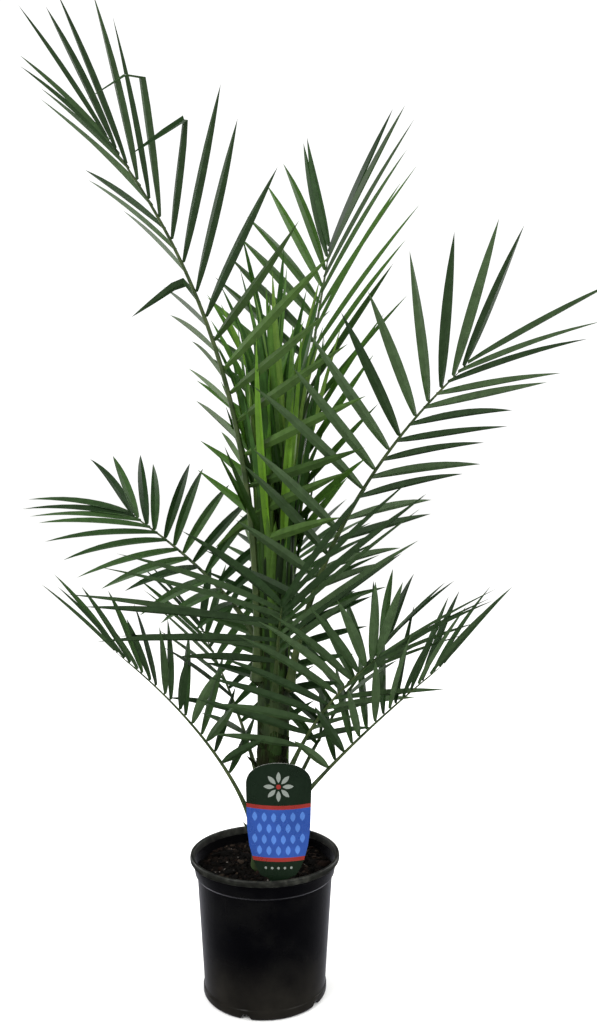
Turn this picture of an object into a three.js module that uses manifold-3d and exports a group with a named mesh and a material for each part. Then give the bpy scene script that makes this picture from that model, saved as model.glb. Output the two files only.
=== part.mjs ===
// A young date palm in a black nursery pot. Millimetres, +Z up.
// The origin is the centre of the pot's flat underside.
import * as THREE from 'three';
import { mergeVertices } from 'three/addons/utils/BufferGeometryUtils.js';
import Module from 'manifold-3d';

const wasm = await Module();
wasm.setup();
const { Manifold, Mesh } = wasm;

// ---------------------------------------------------------------- driving dimensions
const CLEAR = 0.35; // gap left where one piece is cut to the shape of its neighbour
const LEAST_GAP = 0.3; // no two pieces come nearer than this

const POT_HEIGHT = 187;
const RIM_RADIUS = 100;
const WALL_TOP_RADIUS = 90; // outside, just under the collar
const WALL_FOOT_RADIUS = 81; // outside, just above the foot band
const WALL = 2;
const COLLAR_HEIGHT = 26;
const FOOT_HEIGHT = 13;
const FOOT_FLARE = 1.4; // how far the foot band stands out of the wall
const FLOOR = 2.5;
const CHANNEL = { inner: 58, outer: 74, rise: 4 }; // raised ring in the floor that holds the drain holes
const POT_SIDES = 36;
const DRAIN = { count: 8, radius: 5 };
const FOOT_ARCH = { count: 5, radius: 6, first: 254 }; // half-round notches in the foot band, degrees

const SOIL_Z = 168;

const STEM = {
  foot: [8, 0],
  top: [14, 0],
  z0: SOIL_Z + CLEAR,
  z1: 520,
  flare: 27,
  middle: 21.5,
  tip: 15.5,
  sides: 14,
};

const TAG = { x: 20, y: -76, lean: 10, top: 332, stake: 38, thick: 1.6, bow: 75 };

const RIB_STEPS = 48; // steps of the growth rule along one frond
const RIB_SKIP = 3; // one section of the solid in so many steps
const ROOT_DEPTH = 0.6; // how far past the rib's axis a leaflet is rooted, as a share of the rib's half width
const BELLY = 0.38; // where along a leaflet it is widest
const LEAF_THICK = 0.012; // thickness of a leaflet as a share of its length
const FOLD_REST = 0.34; // what hangs beyond the bend of a folded leaflet, as a share of its length

// Tries, in degrees, that a leaflet makes before it is left out: change of spread, change of raise.
const NUDGES = [[0, 0], [0, 8], [0, -8], [6, 0], [-6, 0], [6, 12], [-6, 12], [6, -14], [-6, -14]];

// What every frond shares unless its own row says otherwise.
//   az, z          bearing and height where it leaves the stem
//   lift, droop    slope at its foot and how much of it is lost by the tip, degrees; bend shapes the loss
//   length, bare   length of the rib and the share of it with no leaflets
//   pairs, leaf    number of leaflet pairs and the longest leaflet; low and end scale the first and last ones
//   wide, narrow   angle between leaflet and rib at the foot and at the tip; spread shapes the change
//   raise, flat    how far the two rows are folded up, at the foot and at the tip; roll turns both rows
//   width, sag     width of a leaflet and the drop of its tip as a share of its length
//   inner          distance from the stem's axis where the rib starts, for fronds that stand on its top
//   folded         leaflets that have snapped over: [row, number, where along the leaflet]
const COMMON = {
  bend: 1, bare: 0.2, low: 0.7, end: 0.9, spread: 2, wide: 80, narrow: 20, raise: 25, flat: 10,
  roll: 0, width: 15, sag: 0.05, inner: null, folded: [],
};
// Grown fronds high on the stem, old ones low on it, and the young ones that stand in the heart.
const TALL = { pairs: 15, leaf: 250, raise: 15, width: 16 };
const LOW = {
  bend: 0.5, bare: 0.25, pairs: 9, leaf: 150, wide: 75, spread: 1.5, raise: 40, flat: 25, width: 16,
};
const YOUNG = {
  pairs: 9, leaf: 220, bare: 0.1, low: 0.8, wide: 20, narrow: 10, spread: 1, raise: 10, inner: 8,
};
const FRONDS = [
  { ...TALL, name: 'frond_tall_left', az: 200, z: 420, lift: 90, droop: 40, bend: 1.5, length: 730, pairs: 18,
    low: 0.5, end: 0.65, wide: 75, narrow: 10, raise: 20, flat: 5, roll: 10,
    folded: [[1, 11, 0.6], [1, 12, 0.85], [-1, 9, 0.3], [-1, 1, 0.3]] },
  { ...TALL, name: 'frond_tall_right', az: 335, z: 410, lift: 80, droop: 40, length: 490, bare: 0.15,
    leaf: 200, low: 0.4, end: 1, wide: 70, spread: 4, roll: -30 },
  { ...TALL, name: 'frond_tall_back', az: 60, z: 450, lift: 90, droop: 20, bend: 0.5, length: 590, end: 1,
    wide: 55, narrow: 15, spread: 3, roll: -15 },
  { name: 'frond_left', az: 160, z: 460, lift: 90, droop: 60, bend: 0.25, length: 270, pairs: 12, leaf: 160,
    wide: 90, spread: 1.5, raise: 30, flat: 0, roll: -30, width: 16, sag: 0.15 },
  { name: 'frond_front', az: 275, z: 400, lift: 60, droop: 30, length: 200, bare: 0.3, pairs: 8, leaf: 250,
    low: 0.5, wide: 90, flat: 15, roll: 15, width: 18 },
  { name: 'frond_back', az: 80, z: 320, lift: 75, droop: 45, length: 340, pairs: 12, leaf: 150 },
  { ...LOW, name: 'frond_low_left', az: 190, z: 220, lift: 80, droop: 40, length: 310 },
  { ...LOW, name: 'frond_low_right', az: 355, z: 240, lift: 55, droop: 15, length: 290, leaf: 170 },
  { name: 'frond_right', az: 320, z: 290, lift: 65, droop: 30, length: 240, pairs: 12, leaf: 180, wide: 90,
    raise: 15, roll: -15 },
  { ...LOW, name: 'frond_low_back_left', az: 125, z: 250, lift: 75, droop: 35, length: 280 },
  { ...LOW, name: 'frond_low_back_right', az: 35, z: 240, lift: 70, droop: 30, length: 280 },
  { name: 'frond_young_back', az: 105, z: 440, lift: 90, droop: 25, bend: 1.5, length: 400, pairs: 10,
    leaf: 180, wide: 25, spread: 1, raise: 20 },
  { ...YOUNG, name: 'frond_young_left', az: 125, z: 510, lift: 95, droop: 10, length: 300 },
  { ...YOUNG, name: 'frond_young_right', az: 300, z: 510, lift: 90, droop: 10, length: 250 },
].map((row, k) => ({ ...COMMON, ...row, seed: k + 1 }));

// ---------------------------------------------------------------- helpers
const rad = THREE.MathUtils.degToRad;
const lerp = THREE.MathUtils.lerp;
const UP = new THREE.Vector3(0, 0, 1);
const v3 = (x, y, z) => new THREE.Vector3(x, y, z);

// A repeatable scatter between -1 and 1 for a frond, a leaflet and a use.
function scatter(seed, number, use) {
  const v = Math.sin(seed * 12.9898 + number * 78.233 + use * 37.719) * 43758.5453;
  return 2 * (v - Math.floor(v)) - 1;
}

// A closed solid of any three.js geometry: seams are merged and collapsed triangles dropped.
function toSolid(geometry) {
  const bare = new THREE.BufferGeometry();
  bare.setAttribute('position', geometry.attributes.position);
  bare.setIndex(geometry.index);
  const merged = mergeVertices(bare, 1e-4);
  const ids = merged.index.array;
  const kept = [];
  for (let i = 0; i < ids.length; i += 3) {
    const [a, b, c] = [ids[i], ids[i + 1], ids[i + 2]];
    if (a !== b && b !== c && c !== a) kept.push(a, b, c);
  }
  const build = (order) => new Manifold(new Mesh({
    numProp: 3,
    vertProperties: new Float32Array(merged.attributes.position.array),
    triVerts: new Uint32Array(order),
  }));
  const solid = build(kept);
  if (solid.volume() > 0) return solid;
  return build(kept.map((_, i) => kept[i - (i % 3) + [0, 2, 1][i % 3]]));
}

// A closed surface through rings of points; the first and the last ring may be single points.
function loft(rings) {
  const n = Math.max(...rings.map((ring) => ring.length));
  const ids = [];
  let start = 0;
  if (rings[0].length > 1) for (let i = 1; i < n - 1; i++) ids.push(0, i + 1, i);
  for (let k = 0; k + 1 < rings.length; k++) {
    const next = start + rings[k].length;
    for (let i = 0; i < n; i++) {
      const j = (i + 1) % n;
      if (rings[k].length === 1) ids.push(start, next + j, next + i);
      else if (rings[k + 1].length === 1) ids.push(start + i, start + j, next);
      else ids.push(start + i, start + j, next + j, start + i, next + j, next + i);
    }
    start = next;
  }
  if (rings.at(-1).length > 1) for (let i = 1; i < n - 1; i++) ids.push(start, start + i, start + i + 1);
  const geometry = new THREE.BufferGeometry().setFromPoints(rings.flat());
  geometry.setIndex(ids);
  return geometry;
}

// A diamond-shaped ring round a centre: half width along side, half thickness along face.
function diamond(centre, side, face, halfWidth, halfThick) {
  return [[side, halfWidth], [face, halfThick], [side, -halfWidth], [face, -halfThick]]
    .map(([axis, reach]) => centre.clone().addScaledVector(axis, reach));
}

// A solid of revolution round +Z from a profile of [radius, height].
function turned(profile, sides) {
  const lathe = new THREE.LatheGeometry(profile.map(([r, z]) => new THREE.Vector2(r, z)), sides);
  return toSolid(lathe.rotateX(Math.PI / 2));
}

// A round bar of a given radius and length, laid along a direction from its middle.
function bar(radius, length, sides, middle, direction) {
  const cylinder = new THREE.CylinderGeometry(radius, radius, length, sides);
  const turn = new THREE.Quaternion().setFromUnitVectors(v3(0, 1, 0), direction);
  return toSolid(cylinder.applyQuaternion(turn).translate(middle.x, middle.y, middle.z));
}

// ---------------------------------------------------------------- pot and soil
const collarZ = POT_HEIGHT - COLLAR_HEIGHT;
const channelTop = CHANNEL.rise + FLOOR;

function pot() {
  const foot = WALL_FOOT_RADIUS + FOOT_FLARE;
  const outside = [
    [0, 0], [CHANNEL.inner, 0], [CHANNEL.inner + 2, CHANNEL.rise], [CHANNEL.outer, CHANNEL.rise],
    [CHANNEL.outer + 1.5, 0], [foot - 3, 0], [foot, 4], [foot, FOOT_HEIGHT - 2],
    [WALL_FOOT_RADIUS, FOOT_HEIGHT],
    [WALL_TOP_RADIUS, collarZ - 2], [WALL_TOP_RADIUS + 3, collarZ + 1], [RIM_RADIUS - 4.5, POT_HEIGHT - 9],
    [RIM_RADIUS - 0.5, POT_HEIGHT - 7.5], [RIM_RADIUS, POT_HEIGHT - 4], [RIM_RADIUS - 1.2, POT_HEIGHT - 1],
    [RIM_RADIUS - 3, POT_HEIGHT],
  ];
  const inside = [
    [RIM_RADIUS - 5.2, POT_HEIGHT - 1.2], [RIM_RADIUS - 6.5, POT_HEIGHT - 8],
    [WALL_TOP_RADIUS + 1, collarZ + 2], [WALL_TOP_RADIUS - WALL, collarZ - 2],
    [WALL_FOOT_RADIUS - WALL, FOOT_HEIGHT], [WALL_FOOT_RADIUS - WALL - 1, channelTop],
    [CHANNEL.inner, channelTop], [CHANNEL.inner - 2, FLOOR], [0, FLOOR],
  ];
  let body = turned([...outside, ...inside], POT_SIDES);
  for (let i = 0; i < DRAIN.count; i++) {
    const a = (2 * Math.PI * (i + 0.5)) / DRAIN.count;
    const r = (CHANNEL.inner + CHANNEL.outer) / 2;
    body = body.subtract(bar(DRAIN.radius, 20, 10, v3(r * Math.cos(a), r * Math.sin(a), 0), UP));
  }
  for (let i = 0; i < FOOT_ARCH.count; i++) {
    const a = rad(FOOT_ARCH.first + (360 * i) / FOOT_ARCH.count);
    const out = v3(Math.cos(a), Math.sin(a), 0);
    body = body.subtract(bar(FOOT_ARCH.radius, 20, 10, out.clone().multiplyScalar(foot), out));
  }
  return body;
}

function soil() {
  return turned([
    [0, FLOOR + CLEAR], [CHANNEL.inner - 2 - CLEAR, FLOOR + CLEAR],
    [CHANNEL.inner - CLEAR, channelTop + CLEAR],
    [WALL_FOOT_RADIUS - WALL - 1.5, channelTop + CLEAR], [WALL_FOOT_RADIUS - WALL - CLEAR, FOOT_HEIGHT],
    [WALL_TOP_RADIUS - WALL - CLEAR, collarZ - 2], [WALL_TOP_RADIUS + 1 - 2 * CLEAR, collarZ + 2],
    [WALL_TOP_RADIUS + 1 - CLEAR, SOIL_Z - 2], [WALL_TOP_RADIUS - 6, SOIL_Z], [0, SOIL_Z],
  ], POT_SIDES).subtract(plantTag(CLEAR));
}

// ---------------------------------------------------------------- plant tag
// A bowed card with a round head that narrows to a stake; [height above the rim or soil, half width].
function plantTag(grow = 0) {
  const outline = [
    [SOIL_Z - TAG.stake, 5], [SOIL_Z + 8, 8], [POT_HEIGHT - 1, 13], [POT_HEIGHT + 2, 22],
    [POT_HEIGHT + 20, 32],
    [POT_HEIGHT + 60, 40], [TAG.top - 30, 41.5], [TAG.top - 14, 38], [TAG.top - 5, 27], [TAG.top, 9],
  ];
  const across = [-1, -0.5, 0, 0.5, 1];
  const rings = outline.map(([z, half], k) => {
    const height = z + (k === 0 ? -grow : 0);
    const forward = TAG.lean * Math.min((z - SOIL_Z + TAG.stake) / (POT_HEIGHT - SOIL_Z + TAG.stake), 1);
    const face = (t, depth) => {
      const x = t * (half + grow);
      const y = TAG.y - forward + (x * x) / (2 * TAG.bow) + depth;
      return v3(TAG.x + x, y, height);
    };
    const front = across.map((t) => face(t, -TAG.thick / 2 - grow));
    const back = across.toReversed().map((t) => face(t, TAG.thick / 2 + grow));
    return [...front, ...back];
  });
  return toSolid(loft(rings));
}

// ---------------------------------------------------------------- stem
// Its axis leans evenly from foot to top; the radius flares at the soil and draws in to the growing tip.
function stemAxis(z) {
  const u = (z - SOIL_Z) / (STEM.z1 - SOIL_Z);
  return v3(lerp(STEM.foot[0], STEM.top[0], u), lerp(STEM.foot[1], STEM.top[1], u), z);
}

function stemRadius(z) {
  const u = THREE.MathUtils.clamp((z - SOIL_Z) / (STEM.z1 - SOIL_Z), 0, 1);
  return STEM.middle + (STEM.flare - STEM.middle) * Math.exp(-14 * u) + (STEM.tip - STEM.middle) * u ** 3;
}

function stem(grow = 0) {
  const levels = [0, 6, 14, 28, 60, 120, 190, 260, 310, 340].map((h) => [STEM.z0 + h, 1]);
  levels.push([STEM.z1 - 3, 0.94], [STEM.z1 + grow, 0.78]);
  const rings = levels.map(([z, share]) => {
    const centre = stemAxis(z);
    const r = stemRadius(z) * share + grow;
    return Array.from({ length: STEM.sides }, (_, i) => {
      const a = (2 * Math.PI * i) / STEM.sides;
      return centre.clone().add(v3(r * Math.cos(a), r * Math.sin(a), 0));
    });
  });
  return toSolid(loft(rings));
}

// ---------------------------------------------------------------- fronds
// The rib starts on the stem at a steep slope and loses height evenly, step by step.
function growRib(f) {
  const a = rad(f.az);
  const out = v3(Math.cos(a), Math.sin(a), 0);
  const side = v3(-Math.sin(a), Math.cos(a), 0);
  const start = stemAxis(f.z).addScaledVector(out, f.inner ?? stemRadius(f.z) + 2.5);
  const points = [start];
  const along = [];
  for (let i = 0; i < RIB_STEPS; i++) {
    const s = (i + 0.5) / RIB_STEPS;
    const slope = rad(f.lift - f.droop * s ** f.bend);
    along.push(out.clone().multiplyScalar(Math.cos(slope)).addScaledVector(UP, Math.sin(slope)));
    points.push(points[i].clone().addScaledVector(along[i], f.length / RIB_STEPS));
  }
  return { points, along, side, out };
}

// Half width of the rib: a clasping foot, then an even taper.
function ribHalf(f, s) {
  return 1.1 + 3.4 * (1 - s) ** 1.3 + 3.5 * Math.exp((-s * f.length) / 22);
}

function ribSolid(f, rib) {
  const rings = [];
  for (let i = 0; i <= RIB_STEPS; i += RIB_SKIP) {
    const t = rib.along[Math.min(i, RIB_STEPS - 1)];
    const half = ribHalf(f, i / RIB_STEPS);
    rings.push(diamond(rib.points[i], rib.side, t.clone().cross(rib.side), half, half * 0.75));
  }
  return toSolid(loft(rings));
}

// One leaflet of a row (-1 or 1): its root, belly and tip, with the directions of its width and its face.
function leaflet(f, rib, row, i, nudge) {
  const seed = f.seed;
  const u = Math.min((i + 0.5 + 0.25 * row + 0.12 * scatter(seed, i, row)) / f.pairs, 0.995);
  const s = f.bare + (1 - f.bare) * (1 - (1 - u) ** 1.3);
  const step = Math.min(Math.floor(s * RIB_STEPS), RIB_STEPS - 1);
  const root = rib.points[step].clone().lerp(rib.points[step + 1], s * RIB_STEPS - step);
  const t = rib.along[step];
  const face = t.clone().cross(rib.side);
  const roll = rad(f.roll);
  const across = rib.side.clone().multiplyScalar(Math.cos(roll)).addScaledVector(face, Math.sin(roll));
  const lift = face.clone().multiplyScalar(Math.cos(roll)).addScaledVector(rib.side, -Math.sin(roll));
  const spread = rad(lerp(f.wide, f.narrow, u ** f.spread) + 4 * scatter(seed, i, row + 3) + nudge[0]);
  const raise = rad(lerp(f.raise, f.flat, u) + 5 * scatter(seed, i, row + 6) + nudge[1]);
  const d = t.clone().multiplyScalar(Math.cos(spread))
    .addScaledVector(across, Math.sin(spread) * Math.cos(raise) * row)
    .addScaledVector(lift, Math.sin(spread) * Math.sin(raise));
  const shape = u < 0.45
    ? f.low + (1 - f.low) * (1 - (1 - u / 0.45) ** 2)
    : 1 - (1 - f.end) * ((u - 0.45) / 0.55) ** 2;
  const length = f.leaf * shape * (1 + 0.06 * scatter(seed, i, row + 9));
  const width = t.clone().addScaledVector(d, -t.dot(d)).normalize();
  const normal = d.clone().cross(width);
  const fold = f.folded.find(([r, n]) => r === row && n === i);
  const belly = root.clone().addScaledVector(d, length * BELLY);
  const tip = root.clone().addScaledVector(d, length).addScaledVector(UP, -f.sag * length);
  const depth = ROOT_DEPTH * ribHalf(f, s);
  const [half, bent] = [f.width / 2, fold?.[2]];
  return { root, belly, tip, d, width, normal, length, depth, half, fold: bent, out: rib.out };
}

function leafletSolid(leaf) {
  const { root, width, normal, half, length } = leaf;
  const thick = (length * LEAF_THICK) / 2;
  const rings = [[root.clone().addScaledVector(leaf.d, -leaf.depth)]];
  if (leaf.fold) {
    const bend = root.clone().addScaledVector(leaf.d, length * leaf.fold);
    const down = leaf.out.clone().multiplyScalar(0.8).addScaledVector(UP, -0.6);
    rings.push(diamond(bend, width, normal, half * 0.8, thick));
    rings.push([bend.clone().addScaledVector(down, length * FOLD_REST)]);
  } else {
    rings.push(diamond(leaf.belly, width, normal, half, thick), [leaf.tip]);
  }
  return toSolid(loft(rings));
}

// Solids that a leaflet has to keep clear of, with their boxes for a quick test.
const boxed = (solid, owner) => ({ solid, owner, box: solid.boundingBox() });

function boxesMeet(a, b) {
  return [0, 1, 2].every((k) => a.min[k] - LEAST_GAP < b.max[k] && b.min[k] - LEAST_GAP < a.max[k]);
}

function isClear(item, others) {
  return others.every((other) => other.owner === item.owner || !boxesMeet(item.box, other.box)
    || item.solid.minGap(other.solid, LEAST_GAP) >= LEAST_GAP);
}

// Every rib is set first; then each frond gets the leaflets that find room, with a nudge or two if need be.
function growFronds(fixed) {
  const cutter = stem(CLEAR);
  const placed = [...fixed];
  const grown = FRONDS.map((f) => {
    const rib = growRib(f);
    const solid = ribSolid(f, rib).subtract(cutter).decompose().sort((a, b) => b.volume() - a.volume())[0];
    const item = boxed(solid, f.name);
    if (!isClear(item, placed)) throw new Error(`${f.name} runs into another piece`);
    placed.push(item);
    return { f, rib, parts: [solid] };
  });
  for (const { f, rib, parts } of grown) {
    for (let i = 0; i < f.pairs; i++) {
      for (const row of [-1, 1]) {
        for (const nudge of NUDGES) {
          const item = boxed(leafletSolid(leaflet(f, rib, row, i, nudge)), f.name);
          if (!isClear(item, placed)) continue;
          placed.push(item);
          parts.push(item.solid);
          break;
        }
      }
    }
  }
  return grown.map(({ f, parts }) => [f.name, Manifold.union(parts)]);
}

// ---------------------------------------------------------------- materials and assembly
function material(color, roughness) {
  return new THREE.MeshStandardMaterial({ color, roughness, metalness: 0 });
}
const BLACK_PLASTIC = material(0x18181a, 0.45);
const POTTING_MIX = material(0x231a14, 0.95);
const CARD = material(0x1f3f2a, 0.35);
const STEM_FIBRE = material(0x4d4a22, 0.85);
const OLD_LEAF = material(0x35502c, 0.5);
const YOUNG_LEAF = material(0x4a7a20, 0.45);

function named(name, solid, finish) {
  const mesh = solid.getMesh();
  const geometry = new THREE.BufferGeometry();
  geometry.setAttribute('position', new THREE.BufferAttribute(new Float32Array(mesh.vertProperties), 3));
  geometry.setIndex(new THREE.BufferAttribute(new Uint32Array(mesh.triVerts), 1));
  geometry.computeVertexNormals();
  const node = new THREE.Mesh(geometry, finish);
  node.name = name;
  return node;
}

const palm = new THREE.Group();
const base = [['pot', pot(), BLACK_PLASTIC], ['soil', soil(), POTTING_MIX], ['plant_tag', plantTag(), CARD],
  ['stem', stem(), STEM_FIBRE]];
for (const [name, solid, finish] of base) palm.add(named(name, solid, finish));
for (const [name, solid] of growFronds(base.map(([name, solid]) => boxed(solid, name)))) {
  palm.add(named(name, solid, name.includes('young') ? YOUNG_LEAF : OLD_LEAF));
}

export default palm;
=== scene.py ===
# %% [markdown]
# # A young date palm in its nursery pot
#
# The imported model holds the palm's sizes and the pieces that carry each other. This lesson dresses it:
# every surface is worked out with numpy as a whole array of points, from the same few dimensions.
# Lengths are in millimetres in the formulas and become metres when a mesh is made. +Z is up and the
# origin is the centre of the pot's flat underside.

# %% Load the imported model
import math

import bmesh
import bpy
import numpy as np
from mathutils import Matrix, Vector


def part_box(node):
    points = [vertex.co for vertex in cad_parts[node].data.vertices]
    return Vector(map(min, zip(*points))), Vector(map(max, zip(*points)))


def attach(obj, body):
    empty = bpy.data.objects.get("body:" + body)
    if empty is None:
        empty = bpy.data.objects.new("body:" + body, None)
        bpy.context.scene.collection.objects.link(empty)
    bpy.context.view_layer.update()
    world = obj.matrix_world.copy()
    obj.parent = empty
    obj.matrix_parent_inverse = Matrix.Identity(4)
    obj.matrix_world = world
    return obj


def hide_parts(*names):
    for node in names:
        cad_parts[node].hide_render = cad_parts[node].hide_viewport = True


MM = 0.001
UP = np.array([0.0, 0.0, 1.0])
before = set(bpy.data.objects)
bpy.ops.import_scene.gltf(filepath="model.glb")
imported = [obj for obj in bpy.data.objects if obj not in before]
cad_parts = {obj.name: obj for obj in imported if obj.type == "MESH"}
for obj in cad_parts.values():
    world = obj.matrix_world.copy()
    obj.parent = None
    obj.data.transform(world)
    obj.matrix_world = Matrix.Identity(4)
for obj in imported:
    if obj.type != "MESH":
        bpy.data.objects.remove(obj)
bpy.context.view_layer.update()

# %% [markdown]
# ## The camera
#
# The palm is 1.23 m tall. A moderate wide lens a little over a metre away, held just above the middle of
# the plant and tipped down by two degrees, shows the rim of the pot as a narrow ellipse and still looks
# up at the highest fronds. The distance matters more than the lens, because it sets how strongly the
# near leaflets grow. The Standard view keeps the greens as deep as they are mixed and a white floor white.

# %% Set up the camera
def add_object(name, data):
    """A new object that is linked to the scene."""
    thing = bpy.data.objects.new(name, data)
    bpy.context.scene.collection.objects.link(thing)
    return thing


camera_data = bpy.data.cameras.new("camera")
camera_data.sensor_width = 36
camera_data.lens = 34.3
camera_data.clip_start = 0.05
camera = add_object("camera", camera_data)
camera.location = (0.045, -1.29, 0.694)
camera.rotation_euler = (math.radians(90 - 2.3), 0, 0)
bpy.context.scene.camera = camera
bpy.context.scene.view_settings.view_transform = "Standard"

# %% [markdown]
# ## From a grid of points to a mesh
#
# Nearly every piece here is a surface over two parameters: a ring that is carried along a path, or a
# profile that is turned round an axis. Such a grid needs only one rule for its faces. Where a row of the
# grid shrinks to a point, as at the tip of a leaflet, its doubled points are merged, and the quads there
# become triangles. `foreach_set` hands whole arrays to Blender, which is much faster than a loop.

# %% Grids, meshes and pieces
def grid_quads(rows, columns, wrap=False):
    """Corners of every quad: (i, j), (i, j + 1), (i + 1, j + 1), (i + 1, j); wrap joins the last column
    to the first."""
    i, j = np.meshgrid(np.arange(rows - 1), np.arange(columns if wrap else columns - 1), indexing="ij")
    k = (j + 1) % columns
    quads = np.stack([i * columns + j, i * columns + k, (i + 1) * columns + k, (i + 1) * columns + j], -1)
    return quads.reshape(-1, 4)


def many_grids(points, wrap=False):
    """Points of shape (grids, rows, columns, 3) and one set of quads for all of them."""
    count, rows, columns, _ = points.shape
    quads = grid_quads(rows, columns, wrap)
    shifts = np.arange(count)[:, None, None] * (rows * columns)
    return points.reshape(-1, 3), (quads[None] + shifts).reshape(-1, 4)


def mesh_of(name, points, quads, finishes, pick=None, crease=40, merge=True):
    """A mesh from points in millimetres; pick gives each quad the number of its finish."""
    mesh = bpy.data.meshes.new(name)
    points = np.asarray(points, float).reshape(-1, 3) * MM
    mesh.vertices.add(len(points))
    mesh.vertices.foreach_set("co", points.ravel())
    mesh.loops.add(quads.size)
    mesh.loops.foreach_set("vertex_index", quads.ravel().astype(np.int32))
    mesh.polygons.add(len(quads))
    mesh.polygons.foreach_set("loop_start", np.arange(0, quads.size, 4, dtype=np.int32))
    if pick is not None:
        mesh.polygons.foreach_set("material_index", np.asarray(pick, np.int32).ravel())
    mesh.polygons.foreach_set("use_smooth", np.ones(len(quads), bool))
    mesh.update(calc_edges=True)
    if merge:
        shape = bmesh.new()
        shape.from_mesh(mesh)
        bmesh.ops.remove_doubles(shape, verts=shape.verts, dist=1e-6)
        shape.to_mesh(mesh)
        shape.free()
    mesh.set_sharp_from_angle(angle=math.radians(crease))
    for finish in finishes:
        mesh.materials.append(finish)
    return mesh


def piece(name, mesh, slot, *stands_for):
    """An object of the palm: it rides on the one body and stands for the CAD nodes that are named."""
    thing = add_object(name, mesh)
    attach(thing, "root")
    if stands_for:
        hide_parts(*stands_for)
    triangles = sum(len(p.vertices) - 2 for p in mesh.polygons)
    print(f"{name}: {triangles} triangles")
    return thing


def ring_piece(name, rings, finishes, slot, *stands_for, pick=None, crease=40):
    """A piece made of rings: an array (rows, ring points, 3), or (grids, rows, ring points, 3) for many
    bodies in one mesh. pick gives a finish number to each quad, or one to each grid."""
    grids = rings.reshape(-1, *rings.shape[-3:])
    points, quads = many_grids(grids, wrap=True)
    if pick is not None and len(pick) == len(grids):
        pick = np.repeat(pick, len(quads) // len(grids))
    return piece(name, mesh_of(name, points, quads, finishes, pick, crease), slot, *stands_for)


def unit(v):
    """Vectors scaled to length 1 along the last axis."""
    return v / np.linalg.norm(v, axis=-1, keepdims=True)


def polar(radius, angle, z=0.0):
    """Points (radius cos angle, radius sin angle, z)."""
    return np.stack(np.broadcast_arrays(radius * np.cos(angle), radius * np.sin(angle), z), -1)


def pointed(rings):
    """The rings with the first and the last of each grid drawn together to one point."""
    for end in (0, -1):
        rings[..., end, :, :] = rings[..., end, :, :].mean(-2, keepdims=True)
    return rings


# %% [markdown]
# ## Finishes
#
# Each finish starts from the Principled shader. A noise on Object coordinates breaks up the colour and
# the roughness, and a finer one gives the bump. Squeezing the coordinates along one axis stretches the
# noise into fibres along it. Values that are the same all over the surface stand directly on the shader.

# %% A helper that builds a finish
RAMP_LOW, RAMP_HIGH = 0.34, 0.66


def add_node(nodes, kind, **values):
    """A new node with these values on its inputs; an underscore in a name stands for a space."""
    node = nodes.new(kind)
    for name, value in values.items():
        node.inputs[name.replace("_", " ")].default_value = value
    return node


def finish(name, colours, roughness, grain=60, squeeze=(1, 1, 1), bump=0.2, fine=400, gloss=0.5, wear=0.08):
    """Colour: a ramp through two or more colours, driven by noise. Roughness: its own value, wear up and
    down. grain and fine are how many noise cells a metre holds, for the colour and for the bump."""
    material = bpy.data.materials.new(name)
    material.use_nodes = True
    nodes, links = material.node_tree.nodes, material.node_tree.links
    shader = nodes["Principled BSDF"]
    shader.inputs["Specular IOR Level"].default_value = gloss
    where = nodes.new("ShaderNodeTexCoord")
    stretch = add_node(nodes, "ShaderNodeMapping", Scale=squeeze)
    links.new(where.outputs["Object"], stretch.inputs["Vector"])
    patches = add_node(nodes, "ShaderNodeTexNoise", Scale=grain, Detail=6, Roughness=0.6)
    links.new(stretch.outputs["Vector"], patches.inputs["Vector"])
    ramp = nodes.new("ShaderNodeValToRGB")
    stops = ramp.color_ramp.elements
    while len(stops) < len(colours):
        stops.new(0.5)
    for k, colour in enumerate(colours):
        stops[k].position = RAMP_LOW + (RAMP_HIGH - RAMP_LOW) * k / (len(colours) - 1)
        stops[k].color = (*colour, 1)
    links.new(patches.outputs["Fac"], ramp.inputs["Fac"])
    links.new(ramp.outputs["Color"], shader.inputs["Base Color"])
    rough = add_node(nodes, "ShaderNodeMapRange", To_Min=roughness - wear, To_Max=roughness + wear)
    links.new(patches.outputs["Fac"], rough.inputs["Value"])
    links.new(rough.outputs["Result"], shader.inputs["Roughness"])
    grit = add_node(nodes, "ShaderNodeTexNoise", Scale=fine, Detail=4)
    links.new(stretch.outputs["Vector"], grit.inputs["Vector"])
    relief = add_node(nodes, "ShaderNodeBump", Strength=bump, Distance=0.0006)
    links.new(grit.outputs["Fac"], relief.inputs["Height"])
    links.new(relief.outputs["Normal"], shader.inputs["Normal"])
    return material


# %% [markdown]
# ## The pot
#
# A blow-moulded nursery pot is one turned profile: a flat floor with a raised ring for the drain holes,
# a foot band that stands out by 1.4 mm, a slightly tapered wall, a collar, and a rolled lip. The
# profile is turned round +Z. The half-round notches in the foot are not cut: the formula lifts the foot's
# lower edge along half circles, which keeps the grid whole. The drain holes do need a cut, so a Boolean
# modifier takes eight short pins out of the floor.

# %% Profile of the pot
RIM_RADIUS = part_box("pot")[1].x / MM
POT_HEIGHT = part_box("pot")[1].z / MM
WALL_TOP, WALL_FOOT, WALL = 90.0, 81.0, 2.0
COLLAR_Z = POT_HEIGHT - 26
FOOT_HEIGHT, FOOT_FLARE, FLOOR = 13.0, 1.4, 2.5
CHANNEL_IN, CHANNEL_OUT, CHANNEL_RISE = 58.0, 74.0, 4.0
NOTCH_RADIUS, NOTCH_COUNT, NOTCH_FIRST = 6.0, 5, 254.0


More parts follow.
